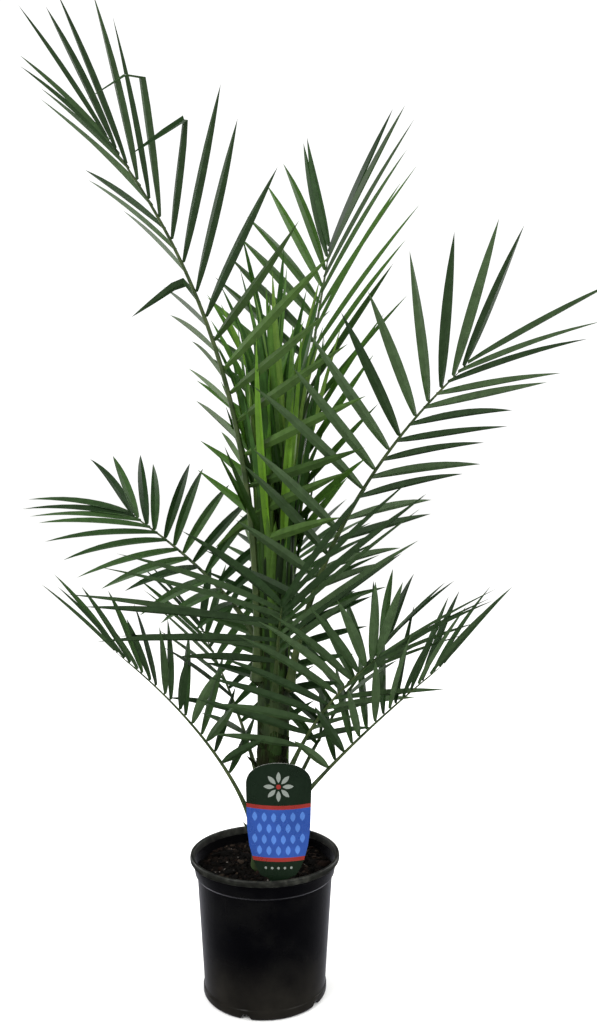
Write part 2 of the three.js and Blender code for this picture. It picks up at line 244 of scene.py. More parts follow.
def rounded(corners, radius, steps=5):
    """A polyline with each inner corner replaced by a quadratic curve that starts and ends at most
    radius away from it."""
    corners = np.asarray(corners, float)
    before, here, after = corners[:-2], corners[1:-1], corners[2:]
    reach_in = np.minimum(radius, 0.45 * np.linalg.norm(before - here, axis=1))[:, None]
    reach_out = np.minimum(radius, 0.45 * np.linalg.norm(after - here, axis=1))[:, None]
    start = here + unit(before - here) * reach_in
    end = here + unit(after - here) * reach_out
    t = np.linspace(0, 1, steps)[None, :, None]
    curve = (1 - t) ** 2 * start[:, None] + 2 * t * (1 - t) * here[:, None] + t**2 * end[:, None]
    return np.vstack([corners[:1], curve.reshape(-1, 2), corners[-1:]])


foot = WALL_FOOT + FOOT_FLARE
pot_profile = rounded(
    [
        (0, 0), (CHANNEL_IN, 0), (CHANNEL_IN + 2, CHANNEL_RISE), (CHANNEL_OUT, CHANNEL_RISE),
        (CHANNEL_OUT + 1.5, 0), (foot - 2.2, 0), (foot, 3), (foot, FOOT_HEIGHT - 2),
        (WALL_FOOT, FOOT_HEIGHT), (WALL_TOP, COLLAR_Z - 2), (WALL_TOP + 3, COLLAR_Z + 1),
        (RIM_RADIUS - 4.5, POT_HEIGHT - 9), (RIM_RADIUS - 0.4, POT_HEIGHT - 7.8),
        (RIM_RADIUS, POT_HEIGHT - 4), (RIM_RADIUS - 0.8, POT_HEIGHT - 0.4),
        (RIM_RADIUS - 3, POT_HEIGHT), (RIM_RADIUS - 5, POT_HEIGHT - 0.8),
        (RIM_RADIUS - 6.5, POT_HEIGHT - 8), (WALL_TOP + 1, COLLAR_Z + 2), (WALL_TOP - WALL, COLLAR_Z - 2),
        (WALL_FOOT - WALL, FOOT_HEIGHT), (WALL_FOOT - WALL - 1, CHANNEL_RISE + FLOOR),
        (CHANNEL_IN, CHANNEL_RISE + FLOOR), (CHANNEL_IN - 2, FLOOR), (0, FLOOR),
    ],
    1.2,
)
print("pot profile:", len(pot_profile), "points")

# %% Turn the pot
POT_TURNS = 240


def turned_pot():
    """Point (profile step, angle) = (r cos a, r sin a, z), with z pressed up inside the notches: the gap
    below the foot is the half circle sqrt(radius^2 - arc^2)."""
    angle = np.linspace(0, 2 * np.pi, POT_TURNS, endpoint=False)
    radius, height = pot_profile[:, :1], pot_profile[:, 1:]
    step = 2 * np.pi / NOTCH_COUNT
    off = (angle - math.radians(NOTCH_FIRST) + step / 2) % step - step / 2
    arch = np.sqrt(np.maximum(NOTCH_RADIUS**2 - (foot * off) ** 2, 0))[None]
    outer = (radius > CHANNEL_OUT) & (np.arange(len(radius))[:, None] < len(radius) / 2)
    low = np.where(radius > foot - 3, arch, np.minimum(arch, CHANNEL_RISE))
    squeeze = np.clip(1 - height / FOOT_HEIGHT, 0, 1)
    z = height + np.where(outer, low * squeeze, 0)
    # the wall of a blown pot is never quite round: it breathes by a few tenths
    wobble = 1 + 0.0016 * np.sin(2 * angle + 1) * np.clip(z / POT_HEIGHT, 0, 1) * (z < POT_HEIGHT - 10)
    return polar(radius * wobble, angle, z)


pot_points = turned_pot()
rows, columns, _ = pot_points.shape
black_plastic = finish(
    "black_plastic", [(0.0004, 0.0004, 0.0008), (0.0008, 0.0008, 0.0013), (0.0026, 0.0026, 0.0027)],
    roughness=0.25, grain=14, bump=0.12, fine=900, gloss=0.08, wear=0.06,
)
worn_lip = finish(
    "worn_lip", [(0.004, 0.004, 0.0035), (0.010, 0.011, 0.008), (0.032, 0.033, 0.026)],
    roughness=0.45, grain=90, bump=0.35, fine=700, gloss=0.3, wear=0.12,
)
for plastic, weight in ((black_plastic, 0.32), (worn_lip, 0.03)):
    # a thin bloom of dust lightens the plastic where it turns away from the eye
    bloom = plastic.node_tree.nodes["Principled BSDF"].inputs
    bloom["Sheen Weight"].default_value = weight
    bloom["Sheen Roughness"].default_value = 0.3
    bloom["Sheen Tint"].default_value = (0.9, 0.9, 1.0, 1)


def dusty_foot(material, dust, height):
    """Mix a dust colour in below the height, in metres: a smooth step of 1 - z / height times a noise."""
    nodes, links = material.node_tree.nodes, material.node_tree.links
    where = nodes["Texture Coordinate"]
    split = nodes.new("ShaderNodeSeparateXYZ")
    links.new(where.outputs["Object"], split.inputs["Vector"])
    fall = add_node(nodes, "ShaderNodeMapRange", From_Max=height, To_Min=1.0, To_Max=0.0)
    fall.interpolation_type = "SMOOTHSTEP"
    links.new(split.outputs["Z"], fall.inputs["Value"])
    cloud = add_node(nodes, "ShaderNodeTexNoise", Scale=28, Detail=7)
    links.new(where.outputs["Object"], cloud.inputs["Vector"])
    amount = nodes.new("ShaderNodeMath")
    amount.operation = "MULTIPLY"
    links.new(fall.outputs["Result"], amount.inputs[0])
    links.new(cloud.outputs["Fac"], amount.inputs[1])
    mix = nodes.new("ShaderNodeMix")
    mix.data_type = "RGBA"
    base = nodes["Principled BSDF"].inputs["Base Color"]
    links.new(base.links[0].from_socket, mix.inputs["A"])
    mix.inputs["B"].default_value = (*dust, 1)
    links.new(amount.outputs["Value"], mix.inputs["Factor"])
    links.new(mix.outputs["Result"], base)


dusty_foot(black_plastic, (0.020, 0.018, 0.014), 0.09)
on_lip = (pot_profile[:, 0] > RIM_RADIUS - 7.5) & (pot_profile[:, 1] > POT_HEIGHT - 9.5)
lip_quads = np.repeat((on_lip[1:] & on_lip[:-1])[:, None], columns, 1)
uncut_mesh = mesh_of(
    "pot_uncut", pot_points, grid_quads(rows, columns, wrap=True), [black_plastic, worn_lip], lip_quads
)
uncut = add_object("pot_uncut", uncut_mesh)

# %% Cut the drain holes
DRAIN_COUNT, DRAIN_RADIUS, PIN_SIDES = 8, 5.0, 24


def drain_pins():
    """Eight closed pins on a circle: their middles plus rings (radius cos b, radius sin b, z), and the two
    end rings have radius 0."""
    a = 2 * np.pi * (np.arange(DRAIN_COUNT) + 0.5) / DRAIN_COUNT
    b = np.linspace(0, 2 * np.pi, PIN_SIDES, endpoint=False)
    size = np.array([0, DRAIN_RADIUS, DRAIN_RADIUS, 0])[:, None]
    height = np.array([-2.0, -2.0, 12.0, 12.0])[:, None]
    return polar((CHANNEL_IN + CHANNEL_OUT) / 2, a)[:, None, None] + polar(size, b, height)


pin_points, pin_quads = many_grids(drain_pins(), wrap=True)
pins = add_object("drain_pins", mesh_of("drain_pins", pin_points, pin_quads, [black_plastic]))
cut = uncut.modifiers.new("drain", "BOOLEAN")
cut.object = pins
cut.operation = "DIFFERENCE"
cut.solver = "EXACT"
bpy.context.view_layer.update()
drained = bpy.data.meshes.new_from_object(uncut.evaluated_get(bpy.context.evaluated_depsgraph_get()))
drained.set_sharp_from_angle(angle=math.radians(40))
bpy.data.objects.remove(pins)
bpy.data.objects.remove(uncut)
piece("pot_shell", drained, "pot_plastic", "pot")

# %% [markdown]
# ## The potting mix
#
# The mix is a lump that fills the pot and ends in a rough surface 19 mm under the rim. Its top is a polar
# grid whose height comes from six sine waves, heaped a little round the stem. On it lie crumbs:
# bark, fibre and a few pale grains. A crumb is a small ball of six by eight points, pushed in and out by
# its own scatter, so more than a thousand of them stay light.

# %% Lay the potting mix
SOIL_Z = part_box("soil")[1].z / MM
SOIL_RADIUS = WALL_TOP + 1.0


def soil_height(x, y):
    """Six sine waves in turned directions, each 1.6 times finer and 0.62 times as high as the last, and a
    heap round the stem."""
    height = np.zeros_like(x)
    for k, turn in enumerate((0.3, 1.4, 2.6, 3.9, 4.8, 5.7)):
        pitch = 0.11 * 1.6**k
        height += 1.5 * 0.62**k * np.sin(pitch * (x * math.cos(turn) + y * math.sin(turn)) + 2.1 * k)
    heap = 3.0 * np.exp(-((x - 8) ** 2 + y**2) / 45**2)
    return height - 1.5 + heap


def soil_grid(turns=120, rings=46):
    """Rings from the centre of the top out to the wall, then down the wall and back under to the centre."""
    angle = np.linspace(0, 2 * np.pi, turns, endpoint=False)
    top = polar(SOIL_RADIUS * np.linspace(0, 1, rings)[:, None], angle)
    top[..., 2] = SOIL_Z + soil_height(top[..., 0], top[..., 1])
    wall = np.array([
        (SOIL_RADIUS - 1, COLLAR_Z + 2), (WALL_TOP - WALL - 0.5, COLLAR_Z - 2),
        (WALL_FOOT - WALL - 0.5, FOOT_HEIGHT), (WALL_FOOT - WALL - 1.5, CHANNEL_RISE + FLOOR + 0.4),
        (CHANNEL_IN - 0.4, CHANNEL_RISE + FLOOR + 0.4), (CHANNEL_IN - 2.4, FLOOR + 0.4), (0, FLOOR + 0.4),
    ])
    return np.concatenate([top, polar(wall[:, :1], angle, wall[:, 1:])])


potting_mix = finish(
    "potting_mix",
    [(0.0008, 0.0006, 0.0005), (0.0020, 0.0014, 0.0009), (0.0055, 0.0038, 0.0025)],
    roughness=0.95, grain=160, bump=1.0, fine=700, gloss=0.08,
)
ring_piece("soil_bed", soil_grid()[::-1], [potting_mix], "potting_mix", "soil", crease=70)

# %% Scatter the crumbs
CRUMB_TINTS = [
    ("bark_dark", (0.0025, 0.0018, 0.0013)), ("bark_brown", (0.0065, 0.0040, 0.0025)),
    ("bark_red", (0.012, 0.0058, 0.0036)), ("fibre_tan", (0.028, 0.019, 0.013)),
    ("grain_pale", (0.15, 0.135, 0.12)),
]
crumb_finishes = [
    finish(name, [tuple(0.7 * c for c in tint), tint], roughness=0.9, grain=300, bump=0.8, gloss=0.1)
    for name, tint in CRUMB_TINTS
]


def crumbs(count, reach, size, seed):
    """Balls (sin p cos q, sin p sin q, cos p) with scattered radii, stretched three ways, turned and laid
    evenly over the area of the soil."""
    chance = np.random.default_rng(seed)
    p = np.linspace(0, np.pi, 6)[:, None]
    q = np.linspace(0, 2 * np.pi, 8, endpoint=False)[None]
    ball = polar(np.sin(p), q, np.cos(p))
    lumps = chance.uniform(0.7, 1.25, (count, 6, 8, 1))
    lumps[:, [0, -1]] = 1
    axes = size * chance.lognormal(0, 0.4, (count, 1, 1, 1)) * chance.uniform(0.45, 1.3, (count, 1, 1, 3))
    shape = ball[None] * lumps * axes * [1.3, 0.9, 0.6]
    turn, tip = chance.uniform(0, 2 * np.pi, count), chance.normal(0, 0.5, count)
    c, s, ct, st = np.cos(turn), np.sin(turn), np.cos(tip), np.sin(tip)
    zero, one = np.zeros(count), np.ones(count)
    spin = np.stack([c, -s, zero, s, c, zero, zero, zero, one], -1).reshape(-1, 3, 3)
    lean = np.stack([one, zero, zero, zero, ct, -st, zero, st, ct], -1).reshape(-1, 3, 3)
    shape = np.einsum("nij,nrcj->nrci", spin @ lean, shape)
    radius = reach * np.sqrt(chance.uniform(0.08, 1, count))
    seat = polar(radius, chance.uniform(0, 2 * np.pi, count))
    seat[:, 2] = SOIL_Z + soil_height(seat[:, 0], seat[:, 1]) + 0.1 * size
    return shape[:, ::-1] + seat[:, None, None]


def crumb_piece(name, count, reach, size, seed, shares):
    """One joined mesh of crumbs; shares gives how many of a hundred take each tint."""
    tint = np.random.default_rng(seed + 1).choice(len(CRUMB_TINTS), count, p=np.array(shares) / sum(shares))
    balls = crumbs(count, reach, size, seed)
    ring_piece(name, balls, crumb_finishes, "potting_mix", pick=tint, crease=60)


crumb_piece("soil_crumbs", 1300, SOIL_RADIUS - 3, 1.9, 11, [52, 26, 12, 8, 2])
crumb_piece("soil_chips", 110, SOIL_RADIUS - 8, 4.2, 21, [45, 30, 15, 9, 1])
crumb_piece("soil_bark", 12, SOIL_RADIUS - 18, 7.5, 43, [20, 30, 20, 30, 0])

# %% [markdown]
# ## The stem
#
# A young date palm has no woody trunk yet. What stands between the soil and the crown is a column of
# clasping leaf bases and brown fibre. The column's outline repeats the solid's; the relief is a helix of
# overlapping edges (a saw tooth in height plus angle) with fine fibres running up it.

# %% Axis, radius and relief of the stem
STEM_FOOT, STEM_TOP, STEM_Z1 = 8.0, 14.0, 520.0
STEM_FLARE, STEM_MIDDLE, STEM_TIP = 27.0, 21.5, 15.5


def stem_axis(z):
    """The axis leans evenly from its foot to its top."""
    u = (np.asarray(z, float) - SOIL_Z) / (STEM_Z1 - SOIL_Z)
    return np.stack([STEM_FOOT + (STEM_TOP - STEM_FOOT) * u, 0 * u, np.asarray(z, float)], -1)


def stem_radius(z):
    """middle + (flare - middle) e^(-14 u) + (tip - middle) u^3"""
    u = np.clip((np.asarray(z, float) - SOIL_Z) / (STEM_Z1 - SOIL_Z), 0, 1)
    return STEM_MIDDLE + (STEM_FLARE - STEM_MIDDLE) * np.exp(-14 * u) + (STEM_TIP - STEM_MIDDLE) * u**3


def stem_relief(angle, z):
    """A saw tooth of height over two leaf spirals, plus two frequencies of upright fibre."""
    tooth = (z / 31 + 2 * angle / (2 * np.pi)) % 1
    tooth_back = (z / 43 - 3 * angle / (2 * np.pi)) % 1
    fibre = 0.35 * np.sin(37 * angle + z / 9) + 0.25 * np.sin(61 * angle - z / 14)
    return 1.5 * tooth**2 + 1.1 * tooth_back**2 - 1.2 + fibre


def stem_grid(turns=180, levels=300):
    """Rings from 6 mm inside the soil to the top, closed by a ring of radius 0 at both ends."""
    angle = np.linspace(0, 2 * np.pi, turns, endpoint=False)[None]
    z = np.linspace(SOIL_Z - 6, STEM_Z1, levels)[:, None]
    top = np.clip((STEM_Z1 - z) / 12, 0, 1) ** 0.5
    radius = (stem_radius(z) + stem_relief(angle, z)) * (0.6 + 0.4 * top)
    radius[[0, -1]] = 0
    return stem_axis(z) + polar(radius, angle)


stem_fibre = finish(
    "stem_fibre",
    [(0.0028, 0.0040, 0.0012), (0.0100, 0.0120, 0.0028), (0.013, 0.030, 0.0045), (0.034, 0.054, 0.011)],
    roughness=0.85, grain=55, squeeze=(1, 1, 0.16), bump=0.9, fine=420, gloss=0.12,
)
ring_piece("stem_bark", stem_grid(), [stem_fibre], "stem_fibre", "stem", crease=60)

# %% [markdown]
# ## How a frond grows
#
# A frond is a rib with two rows of leaflets. The rib leaves the stem steeply and loses slope step by
# step. Leaflets stand nearly square to the rib at its foot and close up towards its tip, and the two rows
# are folded up like an open book; the youngest fronds are still nearly closed. The table repeats the
# solids' own numbers, because the finer fronds must fill the same space. Four keys are the scene's own:
# young picks the greens, mid is the share of the rib whose leaflets are of a middle green, and rib and
# slim are shares of the solid's rib and leaflet widths.

# %% The fronds' dimensions
COMMON = dict(
    bend=1, bare=0.2, low=0.7, end=0.9, spread=2, wide=80, narrow=20, vee=25, flat=10,
    roll=0, width=15, sag=0.05, inner=None, folded=(), young=False, rib=0.8, mid=0, slim=0.46,
)
TALL = dict(COMMON, pairs=15, leaf=250, vee=15, width=16, rib=1.2, mid=0.45)
LOW = dict(COMMON, bend=0.5, bare=0.25, pairs=9, leaf=150, wide=75, spread=1.5, vee=40, flat=25, width=16,
           slim=0.42)
YOUNG = dict(COMMON, pairs=9, leaf=220, bare=0.1, low=0.8, wide=20, narrow=10, spread=1, vee=10, inner=8,
             young=True, rib=0.7, slim=0.36, mid=0.35)
FRONDS = [
    dict(TALL, name="frond_tall_left", az=200, z=420, lift=90, droop=40, bend=1.5, length=730, pairs=18,
         low=0.5, end=0.65, wide=75, narrow=10, vee=20, flat=5, roll=10, rib=1.5,
         folded=((1, 11, 0.6), (1, 12, 0.85), (-1, 9, 0.3), (-1, 1, 0.3))),
    dict(TALL, name="frond_tall_right", az=335, z=410, lift=80, droop=40, length=490, bare=0.15,
         leaf=200, low=0.4, end=1, wide=70, spread=4, roll=-30, mid=0),
    dict(TALL, name="frond_tall_back", az=60, z=450, lift=90, droop=20, bend=0.5, length=590, end=1,
         wide=55, narrow=15, spread=3, roll=-15, mid=0.9),
    dict(COMMON, name="frond_left", az=160, z=460, lift=90, droop=60, bend=0.25, length=270, pairs=12,
         leaf=160, wide=90, spread=1.5, vee=30, flat=0, roll=-30, width=16, sag=0.15, rib=1),
    dict(COMMON, name="frond_front", az=275, z=400, lift=60, droop=30, length=200, bare=0.3, pairs=8,
         leaf=250, low=0.5, wide=90, flat=15, roll=15, width=18),
    dict(COMMON, name="frond_back", az=80, z=320, lift=75, droop=45, length=340, pairs=12, leaf=150),
    dict(LOW, name="frond_low_left", az=190, z=220, lift=80, droop=40, length=310),
    dict(LOW, name="frond_low_right", az=355, z=240, lift=55, droop=15, length=290, leaf=170),
    dict(COMMON, name="frond_right", az=320, z=290, lift=65, droop=30, length=240, pairs=12, leaf=180,
         wide=90, vee=15, roll=-15),
    dict(LOW, name="frond_low_back_left", az=125, z=250, lift=75, droop=35, length=280),
    dict(LOW, name="frond_low_back_right", az=35, z=240, lift=70, droop=30, length=280),
    dict(COMMON, name="frond_young_back", az=105, z=440, lift=90, droop=25, bend=1.5, length=400, pairs=10,
         leaf=180, wide=25, spread=1, vee=20, young=True, slim=0.36, mid=0.35),
    dict(YOUNG, name="frond_young_left", az=125, z=510, lift=95, droop=10, length=300),
    dict(YOUNG, name="frond_young_right", az=300, z=510, lift=90, droop=10, length=250),
]
FRONDS = [{**row, "seed": k + 1} for k, row in enumerate(FRONDS)]

# %% The growth rule
STEPS = 48
NUDGES = [(0, 0), (0, 8), (0, -8), (6, 0), (-6, 0), (6, 12), (-6, 12), (6, -14), (-6, -14)]
FOLD_REST = 0.34  # a snapped leaflet's length beyond its fold, as a share of a whole leaflet
LEAF_PEAK = 0.45  # where along its frond the longest leaflet stands
TIP_MATCH = 0.2  # how near a tip and a corner of the solid are when they are the same point


def scatter(seed, number, use):
    """2 frac(43758.5453 sin(12.9898 seed + 78.233 number + 37.719 use)) - 1, between -1 and 1."""
    v = np.sin(seed * 12.9898 + number * 78.233 + use * 37.719) * 43758.5453
    return 2 * (v - np.floor(v)) - 1


def rib_path(f):
    """Slope at share s of the rib = lift - droop s^bend; the path is the running sum of its steps."""
    out = polar(1, math.radians(f["az"]))
    side = np.cross(UP, out)
    s = (np.arange(STEPS) + 0.5) / STEPS
    slope = np.radians(f["lift"] - f["droop"] * s ** f["bend"])
    along = np.cos(slope)[:, None] * out + np.sin(slope)[:, None] * UP
    reach = f["inner"] or stem_radius(f["z"]) + 2.5
    start = stem_axis(f["z"]) + out * reach
    points = start + np.vstack([np.zeros(3), np.cumsum(along, 0) * f["length"] / STEPS])
    return dict(points=points, along=along, side=side, out=out)


def rib_half(f, s):
    """Half width of the solid rib: 1.1 + 3.4 (1 - s)^1.3 + a clasping foot that dies away in 22 mm."""
    return 1.1 + 3.4 * (1 - s) ** 1.3 + 3.5 * np.exp(-s * f["length"] / 22)


def leaflets(f, rib, number, row, nudge):
    """Roots, directions and sizes of the leaflets with these numbers and rows (-1 or 1)."""
    u = np.minimum((number + 0.5 + 0.25 * row + 0.12 * scatter(f["seed"], number, row)) / f["pairs"], 0.995)
    s = f["bare"] + (1 - f["bare"]) * (1 - (1 - u) ** 1.3)
    step = np.minimum((s * STEPS).astype(int), STEPS - 1)
    share = (s * STEPS - step)[:, None]
    root = rib["points"][step] * (1 - share) + rib["points"][step + 1] * share
    t = rib["along"][step]
    face = np.cross(t, rib["side"])
    roll = math.radians(f["roll"])
    across = rib["side"] * math.cos(roll) + face * math.sin(roll)
    lifted = face * math.cos(roll) - rib["side"] * math.sin(roll)
    spread = f["wide"] + (f["narrow"] - f["wide"]) * u ** f["spread"]
    spread = np.radians(spread + 4 * scatter(f["seed"], number, row + 3) + nudge[0])[:, None]
    vee = f["vee"] + (f["flat"] - f["vee"]) * u
    vee = np.radians(vee + 5 * scatter(f["seed"], number, row + 6) + nudge[1])[:, None]
    d = t * np.cos(spread) + across * np.sin(spread) * np.cos(vee) * row[:, None]
    d = d + lifted * np.sin(spread) * np.sin(vee)
    early = f["low"] + (1 - f["low"]) * (1 - (1 - u / LEAF_PEAK) ** 2)
    late = 1 - (1 - f["end"]) * ((u - LEAF_PEAK) / (1 - LEAF_PEAK)) ** 2
    shape = np.where(u < LEAF_PEAK, early, late)
    length = f["leaf"] * shape * (1 + 0.06 * scatter(f["seed"], number, row + 9))
    width = unit(t - d * (t * d).sum(-1, keepdims=True))
    fold = np.full(len(number), 9.0)
    for folded_row, folded_number, share in f["folded"]:
        fold[(row == folded_row) & (number == folded_number)] = share
    return dict(u=u, s=s, root=root, d=d, width=width, length=length, row=row, fold=fold)


# %% [markdown]
# The solids left out a leaflet, or nudged it by a few degrees, where it would have touched another frond.
# The finer leaflets follow that choice: each of the nine tries has its own tip, and the try whose tip is
# a corner of the solid is the one that was made.

# %% Read each leaflet's nudge off the solid
def beyond_fold(out):
    """The direction in which a snapped leaflet goes on: outwards and down."""
    return 0.8 * out - 0.6 * UP


def leaf_tip(f, rib, leaf):
    """Where a leaflet ends: straight and a little sagged, or beyond its fold."""
    length = leaf["length"][:, None]
    straight = leaf["root"] + leaf["d"] * length - UP * f["sag"] * length
    bent = leaf["root"] + leaf["d"] * length * leaf["fold"][:, None]
    bent = bent + beyond_fold(rib["out"]) * length * FOLD_REST
    return np.where(leaf["fold"][:, None] < 1, bent, straight)


def grown_leaflets(f, rib):
    """The leaflets of a frond as they stand in its solid."""
    number = np.repeat(np.arange(f["pairs"]), 2)
    row = np.tile([-1, 1], f["pairs"])
    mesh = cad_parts[f["name"]].data
    corners = np.empty(len(mesh.vertices) * 3, np.float32)
    mesh.vertices.foreach_get("co", corners)
    corners = corners.reshape(-1, 3) / MM
    tries = [leaflets(f, rib, number, row, nudge) for nudge in NUDGES]
    tips = np.stack([leaf_tip(f, rib, leaf) for leaf in tries])
    gaps = np.sqrt(((tips[:, :, None] - corners) ** 2).sum(-1)).min(-1)
    best = gaps.argmin(0)
    made = gaps.min(0) < TIP_MATCH
    leaf = {k: np.stack([t[k] for t in tries])[best, np.arange(len(number))][made] for k in tries[0]}
    leaf["number"] = number[made]
    print(f"{f['name']}: {made.sum()} of {len(made)} leaflets, {(best[made] > 0).sum()} nudged")
    return leaf


grown = []
for f in FRONDS:
    rib = rib_path(f)
    grown.append((f, rib, grown_leaflets(f, rib)))

# %% [markdown]
# ## Greens
#
# Old leaflets are a deep green above and a duller grey green below, young ones are a bright yellow green,
# and the inner leaflets of both are of a middle green. On one tree no two leaflets match, so each kind has
# three shades, dealt out leaflet by leaflet. The wax on a palm leaf gives it a soft, broad shine.

# %% Finishes of the fronds
def greens(name, shades, roughness, gloss):
    """One waxy finish for each shade."""
    return [
        finish(f"{name}_{k + 1}", [tuple(0.82 * c for c in shade), tuple(1.12 * c for c in shade)],
               roughness=roughness, grain=90, bump=0.15, fine=500, gloss=gloss, wear=0.06)
        for k, shade in enumerate(shades)
    ]


old_top = greens(
    "leaf_top", [(0.010, 0.030, 0.0060), (0.016, 0.045, 0.0085), (0.026, 0.064, 0.013)], 0.38, 0.26)
old_under = greens(
    "leaf_under", [(0.018, 0.040, 0.012), (0.028, 0.056, 0.018), (0.042, 0.076, 0.028)], 0.46, 0.2)
mid_top = greens(
    "mid_top", [(0.017, 0.046, 0.005), (0.026, 0.070, 0.007), (0.038, 0.098, 0.010)], 0.42, 0.28)
mid_under = greens(
    "mid_under", [(0.022, 0.050, 0.008), (0.032, 0.068, 0.011), (0.044, 0.090, 0.016)], 0.48, 0.20)
young_top = greens(
    "young_top", [(0.018, 0.066, 0.004), (0.046, 0.130, 0.007), (0.084, 0.185, 0.011)], 0.40, 0.30)
young_under = greens(
    "young_under", [(0.024, 0.074, 0.008), (0.054, 0.130, 0.013), (0.090, 0.170, 0.020)], 0.45, 0.26)
rib_green = finish(
    "rib_green", [(0.018, 0.036, 0.008), (0.034, 0.058, 0.013), (0.058, 0.080, 0.022)],
    roughness=0.45, grain=40, bump=0.15, gloss=0.4,
)

# %% [markdown]
# ## Leaflets
#
# A date palm's leaflet is folded along its middle like a gutter, with its margins up, narrow at its root,
# widest before its middle and drawn out to a needle point. The cross-section has four points: two
# margins, and the crease above and below. Carried along the centre line it makes a closed body whose
# upper and lower halves take different greens.

# %% One surface for all leaflets of a frond
# Shares along a leaflet where its outline bends: close together at the root and before the point.
LEAF_STATIONS = np.array([0, 0.01, 0.05, 0.12, 0.21, 0.31, 0.42, 0.54, 0.66, 0.78, 0.9, 1])


def blades(leaf, half, sag, out, seed, fold_deg=26, belly=0.38):
    """Centre line: the running sum of a direction that starts along the leaflet, sags with its length and,
    in a snapped leaflet, turns over at the fold. Half width: half (1 - 0.55 (1 - u / belly)^2.4) before the
    belly and half (1 - ((u - belly) / (1 - belly))^2) after it. Margins: half width out along the width,
    turned up by the angle of the fold, which closes towards the root."""
    u = LEAF_STATIONS[:, None]
    middle = (u[1:] + u[:-1]) / 2
    row, folded = leaf["row"][:, None, None], leaf["fold"][:, None, None] < 1
    width = leaf["width"][:, None]
    total = leaf["length"] * np.where(leaf["fold"] < 1, leaf["fold"] + FOLD_REST, 1)
    turn = np.where(folded, (leaf["fold"] / (leaf["fold"] + FOLD_REST))[:, None, None], 9)
    over = np.clip((middle - turn) / 0.05 + 0.5, 0, 1)
    heading = leaf["d"][:, None] * (1 - over) + unit(beyond_fold(out)) * over
    heading = heading - UP * (2 * sag * middle) * ~folded
    bow = 0.10 * scatter(seed, leaf["number"], leaf["row"] + 21)[:, None, None]
    heading = heading + width * bow * (0.5 - middle)
    steps = heading * (np.diff(u, axis=0) * total[:, None, None])
    line = leaf["root"][:, None] + np.cumsum(np.concatenate([0 * steps[:, :1], steps], 1), 1)
    along = unit(np.gradient(line, axis=1))
    twist = np.radians(24) * scatter(seed, leaf["number"], leaf["row"] + 15)[:, None, None] * u
    width = unit(width - along * (width * along).sum(-1, keepdims=True))
    normal = np.cross(along, width)
    turned = width * np.cos(twist) + normal * np.sin(twist)
    width, normal = turned, normal * np.cos(twist) - width * np.sin(twist)
    before = 1 - 0.55 * np.clip(1 - u / belly, 0, 1) ** 2.4
    after = 1 - np.clip((u - belly) / (1 - belly), 0, 1) ** 2
    reach = half * np.where(u < belly, before, after)
    vee = np.radians(fold_deg + (48 - fold_deg) * (1 - u) ** 12)
    top = -row * normal
    thick = 0.28 * (1 - 0.6 * u) * top
    right = line + width * reach * np.cos(vee) + top * reach * np.sin(vee)
    left = line - width * reach * np.cos(vee) + top * reach * np.sin(vee)
    near = line + np.where(row < 0, thick, -thick)
    far = line + np.where(row < 0, -thick, thick)
    rings = np.stack([right, near, left, far], 2)
    rings[:, 0] = line[:, :1]
    rings[:, -1] = line[:, -1:]
    return rings


def leaf_picks(leaf, seed, mid=0, tints=3):
    """Finish number of each quad: a shade for the leaflet, with 0-2 for its upper and 3-5 for its lower
    side, and 6 more for the leaflets in the mid greens, which stand before the share mid of the rib. The
    ring's first two quads lie on the upper side in row -1 and on the lower side in row 1."""
    count = len(leaf["length"])
    shade = np.floor((scatter(seed, leaf["number"], leaf["row"] + 31) * 0.499 + 0.5) * tints).astype(int)
    first = np.where(leaf["row"] < 0, 0, tints)[:, None]
    second = np.where(leaf["row"] < 0, tints, 0)[:, None]
    sides = np.concatenate([first, first, second, second], 1)
    picks = shade[:, None] + sides + 2 * tints * (leaf["u"] < mid)[:, None]
    return np.broadcast_to(picks[:, None], (count, len(LEAF_STATIONS) - 1, 4)).reshape(-1)


for f, rib, leaf in grown:
    shades = (young_top + young_under if f["young"] else old_top + old_under) + mid_top + mid_under
    rings = blades(leaf, f["width"] * f["slim"], f["sag"], rib["out"], f["seed"])
    picks = leaf_picks(leaf, f["seed"], f["mid"])
    slot = "young_leaf" if f["young"] else "leaf"
    ring_piece(f["name"] + "_leaflets", rings, shades, slot, f["name"], pick=picks, crease=35)

# %% [markdown]
# ## Ribs
#
# The rib is rounded below and flat above, thick where it leaves its base and thin as wire at the tip. It
# runs on into the last leaflets, so its end is drawn to a point.

# %% One surface for each rib
RIB_SIDES = 10


def rib_rings(f, rib):
    """Ring angle q at path step i: side times half cos q, face times half sin q, flattened above."""
    points = np.vstack([rib["points"][:1] - rib["along"][:1] * 9, rib["points"]])
    along = np.vstack([rib["along"][:1], rib["along"], rib["along"][-1:]])
    s = np.concatenate([[0], np.arange(STEPS + 1) / STEPS])
    half = (rib_half(f, s) * f["rib"] * np.clip((1 - s) * 12, 0.25, 1))[:, None, None]
    q = np.linspace(0, 2 * np.pi, RIB_SIDES, endpoint=False)[None, :, None]
    face = np.cross(along, rib["side"])[:, None]
    lift = np.where(np.sin(q) > 0, 0.75, 1.0) * np.sin(q)
    rings = points[:, None] + half * (rib["side"] * np.cos(q) + face * lift)
    rings[0], rings[-1] = points[0], points[-1]
    return rings


for f, rib, _ in grown:
    ring_piece(f["name"] + "_rib", rib_rings(f, rib), [rib_green], "leaf")

# %% [markdown]
# ## Leaf bases
#
# Each rib widens downwards into a base that wraps nearly half the stem. It is a patch on the stem's own
# surface: the angle it covers narrows from its foot to the rib, and it stands out along its middle.

# %% Clasping bases
BASE_DROP = 62.0


